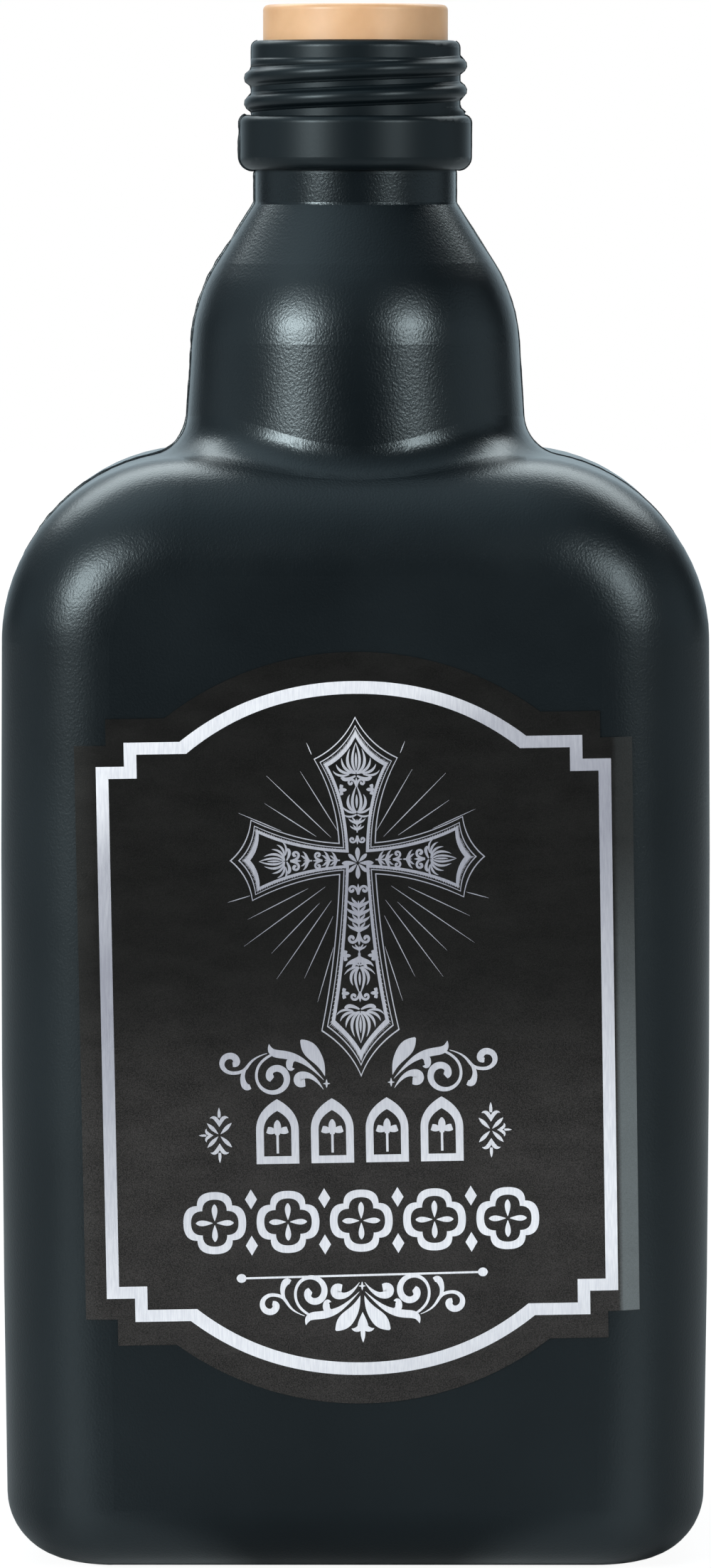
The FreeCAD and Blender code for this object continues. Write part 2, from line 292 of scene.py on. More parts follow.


# %% [markdown]
# ## Label film
#
# The label is a printed film with a matt varnish: a warm black with a very fine
# speckle, rough enough that it shows no picture of the lamps. The speckle is
# both in the colour and in the bump. Two marks of painted light sit in the
# colour: a painted reflection of the pale floor, which makes the film greyer
# towards its foot, and a painted glare of the right-hand lamp on its right
# margin, where the film starts to turn round the long edge. The colour gives
# both: a ramp on the height, and one on the distance to the right of the
# label's own middle, which is turned by a degree.

# %% Label film
LABEL_CENTRE = (0.3, 69.0)
LABEL_TURN = math.radians(1.0)
FILM_DARK, FILM_LIGHT = (0.0030, 0.0026, 0.0025), (0.0190, 0.0160, 0.0152)
CLOUD_SHARE = 0.22
# The film's colour is scaled on the height: a painted reflection of the pale floor, greyer towards the foot.
FILM_AT_FOOT, FILM_AT_TOP = 2.35, 0.42
PAINTED_REFLECTION_FROM, PAINTED_REFLECTION_TO = 52 * MM, 80 * MM
# The paler strip on the right margin is a painted glare of the right-hand lamp, not the film's own colour.
GLARE_FROM, GLARE_FULL = 31.9 * MM, 32.5 * MM
GLARE_FULL_BELOW, GLARE_FAINT_ABOVE = 60 * MM, 92 * MM
PAINTED_GLARE_COLOUR = (0.135, 0.144, 0.146, 1)
WARM_SHEEN = (1.0, 0.95, 0.88, 1)
GRAIN_DEPTH = 0.016 * MM


def make_label_film(name):
    finish, tree, shader = new_finish(name)
    speckle = object_noise(tree, 0.15 * MM, detail=2)
    cloud = object_noise(tree, 5 * MM, detail=6, stretch=(0.7, 1, 1.5))
    mottle = mix_values(tree, CLOUD_SHARE, speckle, cloud)
    black = two_tone(tree, mottle, FILM_DARK, FILM_LIGHT, at_dark=0.36, at_light=0.66)
    across, height = axes(tree, "XZ")
    # Painted reflection of the pale floor: the colour grows greyer towards the label's foot.
    painted_floor_reflection = span(tree, height, FILM_AT_FOOT, FILM_AT_TOP, at_low=PAINTED_REFLECTION_FROM, at_high=PAINTED_REFLECTION_TO)
    painted_floor_reflection.node.interpolation_type = "SMOOTHSTEP"
    film_with_painted_reflection = mix_colours(tree, 1.0, black, grey_of(tree, painted_floor_reflection), "MULTIPLY")
    middle = LABEL_CENTRE[1] * MM * math.tan(LABEL_TURN) + LABEL_CENTRE[0] * MM
    turned = calc(tree, "MULTIPLY_ADD", height, math.tan(LABEL_TURN), across)
    # Painted glare of the right-hand lamp along the right margin, strongest low on the label.
    side = span(tree, calc(tree, "SUBTRACT", turned, middle), 0, 1, at_low=GLARE_FROM, at_high=GLARE_FULL)
    low = span(tree, height, 1, 0.1, at_low=GLARE_FULL_BELOW, at_high=GLARE_FAINT_ABOVE)
    painted_glare = calc(tree, "MULTIPLY", calc(tree, "MULTIPLY", side, low), span(tree, mottle, 0.72, 1))
    feed(tree, shader, {
        "Base Color": mix_colours(tree, painted_glare, film_with_painted_reflection, PAINTED_GLARE_COLOUR),
        "Roughness": span(tree, cloud, 0.34, 0.42),
        "IOR": 1.55, "Specular IOR Level": 0.28, "Specular Tint": WARM_SHEEN})
    stack_bumps(tree, shader, [(cloud, GRAIN_DEPTH), (speckle, GRAIN_DEPTH)])
    return finish


dress(label, make_label_film("label_film"))
print("matt film on front_label")


# %% [markdown]
# ## Silver print
#
# The print is a silver foil with a fine vertical grain. It isn't a mirror but a
# pearly silver. In broad bands it shifts between nearly white and a lilac grey:
# the tint is the foil's own, and the light and dark of the bands is a painted
# reflection of the lamps, where the film lies in slow waves. The bands run
# across the label, a little uphill to the right, so a ramp on a tilted height
# in Object coordinates gives them, and fine noise drawn out along the height
# gives the grain.

# %% Silver foil
FOIL_TILT = 0.375
FOIL_TOP, FOIL_FOOT = 118 * MM, 18 * MM
# Place down the label from 0 at its top to 1 at its foot, and how light the painted reflection makes the foil
# there.
FOIL_REFLECTION_BANDS = [(0.02, 0.87), (0.10, 0.78), (0.17, 0.45), (0.23, 0.43), (0.29, 0.34), (0.36, 0.33), (0.47, 0.44),
              (0.58, 0.56), (0.70, 0.73), (0.80, 0.83), (0.87, 0.84), (0.96, 0.70)]
# Red and green against blue, and the blue that even the darkest band keeps.
FOIL_RED, FOIL_GREEN, FOIL_LEAST_BLUE = 1.12, 1.05, 0.055


def make_silver_foil(name):
    finish, tree, shader = new_finish(name)
    across, height = axes(tree, "XZ")
    slanted = calc(tree, "ADD", height, calc(tree, "MULTIPLY", across, -FOIL_TILT))
    down = span(tree, slanted, 0, 1, at_low=FOIL_TOP, at_high=FOIL_FOOT)
    # Painted reflection: bands of light and dark across the foil, over its own lilac tint.
    painted_reflection_bands = ramp_of(tree, down, [(position, (FOIL_RED * light, FOIL_GREEN * light, light + FOIL_LEAST_BLUE))
                                 for position, light in FOIL_REFLECTION_BANDS])
    lines = object_noise(tree, 0.14 * MM, detail=1.5, stretch=(1, 1, 0.08))
    grain = two_tone(tree, lines, (0.88, 0.88, 0.90), (1, 1, 1))
    feed(tree, shader, {
        "Base Color": mix_colours(tree, 1.0, painted_reflection_bands, grain, "MULTIPLY"),
        "Roughness": span(tree, lines, 0.30, 0.42), "Metallic": 0.15})
    stack_bumps(tree, shader, [(lines, 0.0015 * MM)])
    return finish


silver_foil = make_silver_foil("silver_foil")
print("silver foil ready")


# %% [markdown]
# ## Screw thread
#
# The neck carries one right-hand thread, two turns of a rounded bead, blown
# with the neck. It fades in at the back right, runs down across the front from
# right to left, and its lower end sinks into the top of the collar. A helix is
# one spin of the bead's outline with a rise at each step. The bead's ends are
# then pressed back towards the neck, which a modifier couldn't do as simply.

# %% Thread
THREAD_PITCH = 3.175 * MM
THREAD_PROUD = 0.85 * MM
THREAD_SINK = 0.35 * MM
THREAD_START_DEG = 52
THREAD_END_DEG = -752
THREAD_FADE_DEG = 42
THREAD_ZERO_HEIGHT = 188.0 * MM
THREAD_STEPS_PER_TURN = 96
# Bead outline from its top to its foot, as heights from the crest and shares of
# how far the crest stands proud.
BEAD = [(1.35, 0.00), (1.12, 0.05), (0.95, 0.24), (0.80, 0.56), (0.55, 0.85), (0.22, 0.99), (-0.12, 0.99),
        (-0.44, 0.87), (-0.68, 0.60), (-0.84, 0.26), (-1.00, 0.05), (-1.22, 0.00)]


def helix_height(degrees):
    return THREAD_ZERO_HEIGHT + THREAD_PITCH * degrees / 360


def make_thread():
    bm = bmesh.new()
    outline = [(-THREAD_SINK, BEAD[0][0] * MM)]
    outline += [(share * THREAD_PROUD, rise * MM) for rise, share in BEAD]
    outline += [(-THREAD_SINK, BEAD[-1][0] * MM)]
    start = math.radians(THREAD_START_DEG)
    ring = []
    for proud, rise in outline:
        reach = ROOT_RADIUS + proud
        height = helix_height(THREAD_START_DEG) + rise
        ring.append(bm.verts.new((reach * math.cos(start), reach * math.sin(start), height)))
    edges = [bm.edges.new((ring[i - 1], ring[i])) for i in range(len(ring))]
    sweep = math.radians(THREAD_END_DEG - THREAD_START_DEG)
    steps = round(abs(sweep) / (2 * math.pi) * THREAD_STEPS_PER_TURN)
    drop = Vector((0, 0, (helix_height(THREAD_END_DEG) - helix_height(THREAD_START_DEG)) / steps))
    bmesh.ops.spin(bm, geom=ring + edges, cent=(0, 0, 0), axis=(0, 0, 1), dvec=drop,
                   angle=sweep, steps=steps, use_merge=False, use_duplicate=False)
    bmesh.ops.holes_fill(bm, edges=[edge for edge in bm.edges if edge.is_boundary], sides=0)
    bmesh.ops.recalc_face_normals(bm, faces=bm.faces)
    for vert in bm.verts:
        turned = math.degrees(math.atan2(vert.co.y, vert.co.x))
        turns = [turned + 360 * k for k in range(-3, 2)]
        along = min(turns, key=lambda degrees: abs(helix_height(degrees) - vert.co.z))
        nearest_end = min(THREAD_START_DEG - along, along - THREAD_END_DEG)
        share = min(1.0, max(0.0, nearest_end / THREAD_FADE_DEG))
        share = share * share * (3 - 2 * share)
        reach = math.hypot(vert.co.x, vert.co.y)
        proud = reach - ROOT_RADIUS
        if proud > 0:
            pressed = (ROOT_RADIUS + proud * share - (1 - share) * 0.05 * MM) / reach
            vert.co.x *= pressed
            vert.co.y *= pressed
    return bm


def finish_piece(name, bm, finish, body, smooth=True):
    """Turns a bmesh into a named piece that rides on a body of the frame."""
    mesh = bpy.data.meshes.new(name)
    bm.to_mesh(mesh)
    bm.free()
    for polygon in mesh.polygons:
        polygon.use_smooth = smooth
    piece = bpy.data.objects.new(name, mesh)
    bpy.context.scene.collection.objects.link(piece)
    mesh.materials.append(finish)
    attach(piece, body)
    print(f"{name}: {len(mesh.polygons)} faces")


finish_piece("screw_thread", make_thread(), black_plastic, "bottle")


# %% [markdown]
# ## Bead under the lip
#
# Between the plain band of the lip and the thread runs a shallow step, where the
# neck's insert met the mould. It catches a thin light of its own. A full spin of
# a small outline gives it.

# %% Lip bead
LIP_BEAD_HEIGHT = 188.35 * MM
LIP_BEAD_PROUD = 0.09 * MM
LIP_BEAD_HALF = 0.55 * MM
TURN_STEPS = 128


def make_ring(outline):
    """Full spin of a closed outline of (radius, height) about the neck's axis."""
    bm = bmesh.new()
    ring = [bm.verts.new((reach, 0, height)) for reach, height in outline]
    edges = [bm.edges.new((ring[i - 1], ring[i])) for i in range(len(ring))]
    bmesh.ops.spin(bm, geom=ring + edges, cent=(0, 0, 0), axis=(0, 0, 1), dvec=(0, 0, 0),
                   angle=2 * math.pi, steps=TURN_STEPS, use_merge=True, use_duplicate=False)
    bmesh.ops.remove_doubles(bm, verts=bm.verts, dist=0.001 * MM)
    bmesh.ops.recalc_face_normals(bm, faces=bm.faces)
    return bm


bead_outline = [
    (ROOT_RADIUS - 0.3 * MM, LIP_BEAD_HEIGHT + LIP_BEAD_HALF),
    (ROOT_RADIUS + 0.01 * MM, LIP_BEAD_HEIGHT + LIP_BEAD_HALF),
    (ROOT_RADIUS + LIP_BEAD_PROUD, LIP_BEAD_HEIGHT + 0.2 * LIP_BEAD_HALF),
    (ROOT_RADIUS + LIP_BEAD_PROUD, LIP_BEAD_HEIGHT - 0.2 * LIP_BEAD_HALF),
    (ROOT_RADIUS + 0.01 * MM, LIP_BEAD_HEIGHT - LIP_BEAD_HALF),
    (ROOT_RADIUS - 0.3 * MM, LIP_BEAD_HEIGHT - LIP_BEAD_HALF),
]
finish_piece("lip_bead", make_ring(bead_outline), black_plastic, "bottle")


# %% [markdown]
# ## Parting line
#
# The two halves of a blow mould meet in the plane through the neck and both
# sides. They leave a thin ridge of flash there, rough and taller on the left of
# this bottle, which also crosses the base as the pinch-off seam. Its route is
# cut out of the bottle itself: a copy of the shell is bisected by that plane,
# and the outer half of the section becomes a thin bevelled curve.

# %% Route of the parting line
FLASH_STEP = 0.5 * MM


def cut_section(obj):
    """Outer outline of the shell in the plane y = 0, from the lip on the left to the right."""
    bm = bmesh.new()
    bm.from_mesh(obj.data)
    bmesh.ops.remove_doubles(bm, verts=bm.verts, dist=0.002 * MM)
    bmesh.ops.bisect_plane(bm, geom=bm.verts[:] + bm.edges[:] + bm.faces[:], dist=0.0001 * MM,
                           plane_co=(0, 0, 0), plane_no=(0, 1, 0), clear_inner=True, clear_outer=True)
    bmesh.ops.remove_doubles(bm, verts=bm.verts, dist=0.002 * MM)
    rim = [vert for vert in bm.verts if vert.co.z > LIP_HEIGHT - 0.01 * MM]
    first = min(rim, key=lambda vert: vert.co.x)
    last = max(rim, key=lambda vert: vert.co.x)
    for step in first.link_edges:
        walk, before, here = [first.co.copy()], first, step.other_vert(first)
        while here not in (first, last) and len(walk) < len(bm.verts):
            walk.append(here.co.copy())
            onward = [edge.other_vert(here) for edge in here.link_edges if edge.other_vert(here) != before]
            if not onward:
                break
            before, here = here, onward[0]
        if min(spot.z for spot in walk) < 1 * MM and here == last:
            bm.free()
            return walk
    raise RuntimeError("no outer section found")


section = cut_section(shell)
print(f"section of {len(section)} points")


# %% Flash ridge
def even_steps(points, step):
    """The same line with long runs divided, so that its roughness has points to move."""
    line = [points[0]]
    for before, after in zip(points, points[1:]):
        pieces = max(1, math.ceil((after - before).length / step))
        line += [before.lerp(after, i / pieces) for i in range(1, pieces + 1)]
    return line


def flash_radius(spot):
    """Half height of the ridge: rough on the left, faint on the neck and the base."""
    rough = noise.noise(spot / (2.2 * MM)) * 0.5 + noise.noise(spot / (0.9 * MM)) * 0.35
    if spot.z > COLLAR_TOP:
        return 0.13 * MM
    if spot.z < 9 * MM:
        return (0.16 + 0.05 * rough) * MM
    if spot.x < 0:
        return max(0.12, 0.30 + 0.24 * rough) * MM
    return max(0.08, 0.17 + 0.08 * rough) * MM


def over_the_thread(spot):
    """The same point, moved out to the bead where the ridge crosses a turn of the thread."""
    if not COLLAR_TOP + 0.05 * MM < spot.z < LIP_HEIGHT - 1.5 * MM:
        return spot
    degrees = [0, -360, -720] if spot.x > 0 else [-180, -540]
    rise = min((spot.z - helix_height(turned) for turned in degrees), key=abs) / MM
    for (above, high), (below, low) in zip(BEAD, BEAD[1:]):
        if below <= rise <= above:
            share = low + (high - low) * (rise - below) / (above - below)
            return spot + Vector((math.copysign(share * THREAD_PROUD, spot.x), 0, 0))
    return spot


FLASH_THIN = 0.55
CLOSEST = 0.35
flash_curve = bpy.data.curves.new("parting_line", "CURVE")
flash_curve.dimensions = "3D"
flash_curve.bevel_depth = 1.0
flash_curve.bevel_resolution = 1
flash_curve.use_fill_caps = True
flash_line = section[:1]
for spot in even_steps(section, FLASH_STEP):
    lifted = over_the_thread(spot)
    if (lifted - flash_line[-1]).length > CLOSEST * FLASH_STEP:
        flash_line.append(lifted)
flash_spline = flash_curve.splines.new("POLY")
flash_spline.points.add(len(flash_line) - 1)
for knot, spot in zip(flash_spline.points, flash_line):
    knot.co = (*spot, 1)
    knot.radius = flash_radius(spot)


def mesh_of_curve(curve):
    """The mesh that a curve makes, with the curve itself removed."""
    holder = bpy.data.objects.new(curve.name + "_curve", curve)
    bpy.context.scene.collection.objects.link(holder)
    bpy.context.view_layer.update()
    mesh = bpy.data.meshes.new_from_object(holder.evaluated_get(bpy.context.evaluated_depsgraph_get()))
    bpy.data.objects.remove(holder)
    bpy.data.curves.remove(curve)
    bm = bmesh.new()
    bm.from_mesh(mesh)
    bpy.data.meshes.remove(mesh)
    return bm


flash = mesh_of_curve(flash_curve)
bmesh.ops.scale(flash, vec=(1, FLASH_THIN, 1), verts=flash.verts)
finish_piece("parting_line", flash, black_plastic, "bottle")


# %% [markdown]
# ## Drawing on the label
#
# The print is drawn flat, in millimetres from the label's centre, and then laid
# on the film. Two kinds of mark make all of it: flat filled outlines, for the
# border and the cross, and strokes that swell and taper like a pen's, for rays,
# scrolls and leaves. Both are curves, turned into thin meshes, and each point is
# then dropped onto the label's own surface, so that the print also turns round
# the bottle's long edges.

# %% Flat outlines and strokes
INK_HALF = 0.003
INK_LIFT = 0.004

film = bmesh.new()
film.from_mesh(label.data)
film_tree_of_faces = BVHTree.FromBMesh(film)
film.free()


def new_print(name, filled):
    curve = bpy.data.curves.new(name, "CURVE")
    curve.dimensions = "2D"
    if filled:
        curve.fill_mode = "BOTH"
        curve.extrude = INK_HALF
    else:
        curve.fill_mode = "NONE"
        curve.bevel_depth = 1.0
        curve.bevel_resolution = 0
        curve.use_fill_caps = True
    return curve


def outline(curve, corners, bends=None, detail=12):
    """Closed outline; bends gives a side's control point where that side is curved."""
    bends = bends or {}
    spline = curve.splines.new("BEZIER")
    spline.bezier_points.add(len(corners) - 1)
    spline.use_cyclic_u = True
    spline.resolution_u = detail
    for index, knot in enumerate(spline.bezier_points):
        knot.handle_left_type = knot.handle_right_type = "FREE"
        knot.co = (*corners[index], 0)
    for index, start in enumerate(spline.bezier_points):
        end = spline.bezier_points[(index + 1) % len(corners)]
        if index in bends:
            pull = Vector((*bends[index], 0))
            start.handle_right = start.co.lerp(pull, 2 / 3)
            end.handle_left = end.co.lerp(pull, 2 / 3)
        else:
            start.handle_right = start.co.lerp(end.co, 1 / 3)
            end.handle_left = end.co.lerp(start.co, 1 / 3)


def stroke(curve, points, place=0j, turn=1 + 0j, detail=4):
    """Pen stroke through control points of (across, up, width)."""
    spline = curve.splines.new("NURBS")
    spline.points.add(len(points) - 1)
    size = abs(turn)
    for knot, (across, up, width) in zip(spline.points, points):
        spot = place + turn * complex(across, up)
        knot.co = (spot.real, spot.imag, 0, 1)
        knot.radius = max(width * size / 2, 0.004)
    spline.use_endpoint_u = True
    spline.order_u = min(4, len(points))
    spline.resolution_u = detail


def lay_on_label(bm):
    """Moves a flat drawing from millimetres on the label to its place on the film."""
    missed = 0
    for vert in bm.verts:
        across, up, lift = vert.co
        spot_x = (LABEL_CENTRE[0] + across * math.cos(LABEL_TURN) - up * math.sin(LABEL_TURN)) * MM
        spot_z = (LABEL_CENTRE[1] + across * math.sin(LABEL_TURN) + up * math.cos(LABEL_TURN)) * MM
        hit = film_tree_of_faces.ray_cast(Vector((spot_x, -0.05, spot_z)), Vector((0, 1, 0)))[0]
        missed += hit is None
        face_y = hit.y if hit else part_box("front_label")[0][1]
        raised = INK_LIFT + math.copysign(min(abs(lift), INK_HALF), lift)
        vert.co = (spot_x, face_y - raised * MM, spot_z)
    if missed:
        print(f"{missed} points lie off the label")


EDGE_STARTS = 29.5
BEND_CUTS = [29.6 + 0.25 * step for step in range(9)]


def slice_drawing(bm, point, facing):
    """Adds edges across a drawing, so that it can bend there."""
    bmesh.ops.bisect_plane(bm, geom=bm.verts[:] + bm.edges[:] + bm.faces[:], dist=0.0001,
                           plane_co=point, plane_no=facing)


def print_on_label(curve):
    name = curve.name
    bm = mesh_of_curve(curve)
    bmesh.ops.remove_doubles(bm, verts=bm.verts, dist=0.0005)
    if max(abs(vert.co.x) for vert in bm.verts) > EDGE_STARTS:
        for cut in BEND_CUTS:
            slice_drawing(bm, Vector((cut, 0, 0)), Vector((1, 0, 0)))
            slice_drawing(bm, Vector((-cut, 0, 0)), Vector((1, 0, 0)))
        for cut in range(-36, 40, 4):
            slice_drawing(bm, Vector((0, cut, 0)), Vector((0, 1, 0)))
    lay_on_label(bm)
    bmesh.ops.recalc_face_normals(bm, faces=bm.faces)
    finish_piece(name, bm, silver_foil, "bottle", smooth=False)


print("label drawing ready")


# %% [markdown]
# ## Border
#
# A silver band follows the die-cut edge, with stepped corners and an arch at
# each end. It is one filled outline with a hole.

# %% Border band
def stepped_frame(half_width, side, step_across, ledge, arch, peak):
    """Corners and bends of the stepped, arched outline, anticlockwise from bottom left."""
    corners = [(-half_width, -side), (-step_across, -side), (-step_across, -ledge), (-arch, -ledge),
               (0, -peak), (arch, -ledge), (step_across, -ledge), (step_across, -side), (half_width, -side),
               (half_width, side), (step_across, side), (step_across, ledge), (arch, ledge),
               (0, peak), (-arch, ledge), (-step_across, ledge), (-step_across, side), (-half_width, side)]
    flat = ARCH_FLAT * arch
    return corners, {3: (-flat, -peak), 4: (flat, -peak), 12: (flat, peak), 13: (-flat, peak)}


ARCH_FLAT = 0.575
border = new_print("foil_border", filled=True)
outline(border, *stepped_frame(31.8, 33.2, 28.3, 36.15, 21.4, 43.3), detail=24)
outline(border, *stepped_frame(30.25, 31.7, 26.75, 34.65, 20.6, 41.72), detail=24)
print_on_label(border)


# %% [markdown]
# ## Cross
#
# A Latin cross with flared, pointed arms stands in the upper half: a fine
# outline, a second one inside it, and a shaded band. All three are the same
# outline, drawn in by more at the flares than at the crossing, so one function
# gives the corners.

# %% Cross outlines
CROSS_PLACE = (0.31, 21.3)


def cross_outline(draw_in, flare_in, tip_in):
    """Corners and bends of the cross, clockwise from the top tip."""
    cx, cy = CROSS_PLACE
    waist = 2.3 - draw_in
    shoulder = 2.0 - draw_in
    corners, bends = [], {}

    def add(across, up, bend=None):
        if bend:
            bends[len(corners)] = (cx + bend[0], cy + bend[1])
        corners.append((cx + across, cy + up))

    flare, flare_up = 5.2 - flare_in, 12.45 - 0.55 * flare_in
    arm, arm_up = 13.1 - 0.55 * flare_in, 5.05 - flare_in
    foot, foot_up = 4.85 - flare_in, 21.4 - 0.75 * flare_in
    top, side_tip, foot_tip = 17.6 - tip_in, 15.8 - tip_in, 27.2 - 1.3 * tip_in
    # Each row of right-hand corners is given with the bend of the side after it.
    right = [
        (0, top, (1.7 - 0.3 * flare_in, 14.1 - 0.8 * flare_in)),
        (flare, flare_up, (waist + 0.2, 7.6)),
        (waist, shoulder, (7.6, shoulder + 0.35)),
        (arm, arm_up, (13.5 - 0.8 * flare_in, 1.9 - 0.3 * flare_in)),
        (side_tip, 0, (13.5 - 0.8 * flare_in, -1.9 + 0.3 * flare_in)),
        (arm, -arm_up, (7.6, -shoulder - 0.35)),
        (waist, -shoulder, (waist + 0.5, -12)),
        (foot, -foot_up, (1.35 - 0.3 * flare_in, -23.7 + 0.8 * flare_in)),
        (0, -foot_tip, None),
    ]
    for row in right:
        add(*row)
    left = list(reversed(right))
    for index in range(1, len(left) - 1):
        bends[len(corners) - 1] = (cx - left[index][2][0], cy + left[index][2][1])
        add(-left[index][0], left[index][1])
    bends[len(corners) - 1] = (cx - right[0][2][0], cy + right[0][2][1])
    return corners, bends


cross_lines = new_print("foil_cross_lines", filled=True)
outline(cross_lines, *cross_outline(0.0, 0.0, 0.0))
outline(cross_lines, *cross_outline(0.15, 0.15, 0.22))
outline(cross_lines, *cross_outline(0.55, 0.72, 1.05))
outline(cross_lines, *cross_outline(0.68, 0.86, 1.25))
print_on_label(cross_lines)

cross_band = new_print("foil_cross_band", filled=True)
outline(cross_band, *cross_outline(0.85, 1.24, 1.80))
outline(cross_band, *cross_outline(1.24, 1.75, 2.55))
print_on_label(cross_band)


# %% [markdown]
# ## Rays
#
# Fine rays stand between the arms, five above each arm and seven below, long
# and short in turn. Each is a stroke that tapers to nothing at both ends.

# %% Rays
RAY_CENTRE = (0.34, 20.75)
RAY_WIDTH = 0.20
# Angle above or below the arm in degrees, and where the ray starts and ends.
RAYS_ABOVE = [(23.8, 10.2, 16.0), (33.7, 6.1, 13.7), (44.8, 4.6, 15.6), (59.0, 4.6, 13.4), (68.0, 14.6, 16.2)]
RAYS_BELOW = [(16.0, 13.9, 16.8), (26.3, 6.9, 15.3), (35.4, 5.0, 17.5), (45.5, 6.9, 15.5), (54.2, 5.7, 17.6),
              (64.3, 7.3, 15.8), (73.0, 10.9, 18.0)]
rays = new_print("foil_rays", filled=False)
for side in (-1, 1):
    for up, group in ((1, RAYS_ABOVE), (-1, RAYS_BELOW)):
        for degrees, inner, outer in group:
            slope = math.radians(degrees)
            toward = complex(side * math.cos(slope), up * math.sin(slope))
            place = complex(*RAY_CENTRE)
            stops = [(inner, 0.03), (inner + 0.35 * (outer - inner), RAY_WIDTH), (outer, 0.02)]
            stroke(rays, [((toward * reach).real, (toward * reach).imag, width) for reach, width in stops],
                   place=place)
print_on_label(rays)


# %% [markdown]
# ## Filigree in the cross
#
# The field inside the band is filled with leafwork. It is all made from five
# small motifs, each a handful of pen strokes on one side of its own axis and
# their mirror images: a fan of leaves, a bud, a pair of curls, a three-lobed
# sprig and a row of paired leaves. A motif's place and turn are complex numbers,
# where multiplying by 1j turns it a quarter to the left.

# %% Leaf motifs
def mirrored(curve, strokes, place, turn):
    """Draws strokes and their mirror images about the motif's own upright axis."""
    for points in strokes:
        for side in (1, -1):
            stroke(curve, [(side * across, up, width) for across, up, width in points], place, turn)
            if all(across == 0 for across, up, width in points):
                break


FAN = [
    [(0, 0.5, 0.05), (0, 1.5, 0.55), (0, 2.6, 0.05)],
    [(0.00, 0.1, 0.14), (0.62, 0.9, 0.40), (0.62, 2.1, 0.46), (0, 3.9, 0.03)],
    [(0.05, 0.0, 0.14), (1.05, 0.4, 0.46), (1.45, 1.6, 0.52), (0.75, 3.1, 0.03)],
    [(0.05, -0.1, 0.14), (1.30, 0.1, 0.42), (1.85, 0.9, 0.46), (1.85, 1.9, 0.03)],
    [(0.60, 0.0, 0.14), (1.50, -0.2, 0.42), (2.35, 0.3, 0.44), (2.55, 1.1, 0.03)],
    [(0.90, -0.2, 0.14), (1.70, -0.5, 0.36), (2.60, -0.4, 0.36), (3.00, 0.3, 0.03)],
    [(0.10, -0.4, 0.20), (0.80, -0.8, 0.44), (1.60, -1.1, 0.60), (1.85, -0.5, 0.40)],
]
BUD = [
    [(0, 0.2, 0.05), (0, 0.9, 0.50), (0, 1.7, 0.05)],
    [(0.05, -0.3, 0.16), (0.72, 0.4, 0.40), (0.55, 1.5, 0.34), (0, 2.7, 0.04)],
    [(0.10, -0.2, 0.14), (1.05, 0.0, 0.42), (1.15, 1.1, 0.40), (0.75, 1.7, 0.03)],
    [(0.10, -0.3, 0.14), (1.05, -0.4, 0.40), (1.70, 0.5, 0.03)],
    [(0.05, -0.5, 0.14), (0.80, -1.0, 0.38), (1.50, -0.5, 0.03)],
]
CURLS = [
    [(0, -0.7, 0.30), (0.15, 0.2, 0.36), (0.80, 0.65, 0.34), (1.35, 0.15, 0.32), (1.05, -0.45, 0.36),
     (0.60, -0.10, 0.46), (0.80, 0.10, 0.24)],
    [(0, -0.6, 0.10), (0, 0.1, 0.60), (0, 0.8, 0.05)],
]
SPRIG = [
    [(0, 0, 0.36), (0, 0.6, 0.74), (0, 1.0, 0.70), (0, 1.25, 0.10)],
    [(0.05, 0.30, 0.20), (0.55, 0.35, 0.80), (0.85, 0.45, 0.50)],
]
LEAF_PAIR = [
    [(0, -0.7, 0.22), (0, 0, 0.34), (0, 0.6, 0.10)],
    [(0, -0.3, 0.22), (0.45, 0.25, 0.50), (1.05, 0.10, 0.44), (1.45, 0.75, 0.03)],
    [(0, -0.1, 0.16), (0.35, 0.55, 0.40), (0.75, 0.55, 0.34), (0.80, 1.05, 0.03)],
]
ROSETTE_PETAL = [(0, 0.22, 0.05), (0, 0.90, 0.55), (0, 1.50, 0.95), (0, 1.95, 0.10)]


# %% Filigree
def along_arm(direction, reach, across=0.0):
    """Point in the cross at a distance along an arm, across to its left."""
    return complex(*RAY_CENTRE) + direction * complex(reach, across)


UP, DOWN, LEFT, RIGHT = 1j, -1j, -1, 1
FIELD_RAISED = 0.38j
filigree = new_print("foil_filigree", filled=False)
for step in range(8):
    toward = cmath.rect(1, step * math.pi / 4)
    petal_scale = 1.0 if step % 2 == 0 else 0.82
    stroke(filigree, ROSETTE_PETAL, complex(*RAY_CENTRE), toward / 1j * petal_scale)
# Motifs as (strokes, arm, reach along it, size, way up): 1 points outward, -1 back to the middle.
MOTIFS = [
    (CURLS, UP, 2.9, 0.72, -1), (LEAF_PAIR, UP, 4.2, 0.60, 1), (LEAF_PAIR, UP, 5.0, 0.72, 1),
    (BUD, UP, 6.6, 1.12, 1), (CURLS, UP, 10.0, 0.78, 1), (FAN, UP, 11.2, 0.96, 1),
    (CURLS, DOWN, 3.3, 0.88, -1), (LEAF_PAIR, DOWN, 5.3, 1.00, -1), (LEAF_PAIR, DOWN, 6.3, 1.05, -1),
    (LEAF_PAIR, DOWN, 7.3, 0.95, -1), (LEAF_PAIR, DOWN, 8.3, 0.95, -1), (CURLS, DOWN, 9.4, 1.00, 1),
    (LEAF_PAIR, DOWN, 10.7, 0.62, -1), (LEAF_PAIR, DOWN, 12.0, 1.20, 1), (BUD, DOWN, 13.3, 1.12, 1),
    (CURLS, DOWN, 16.6, 0.86, 1), (FAN, DOWN, 18.6, 0.98, 1),
]
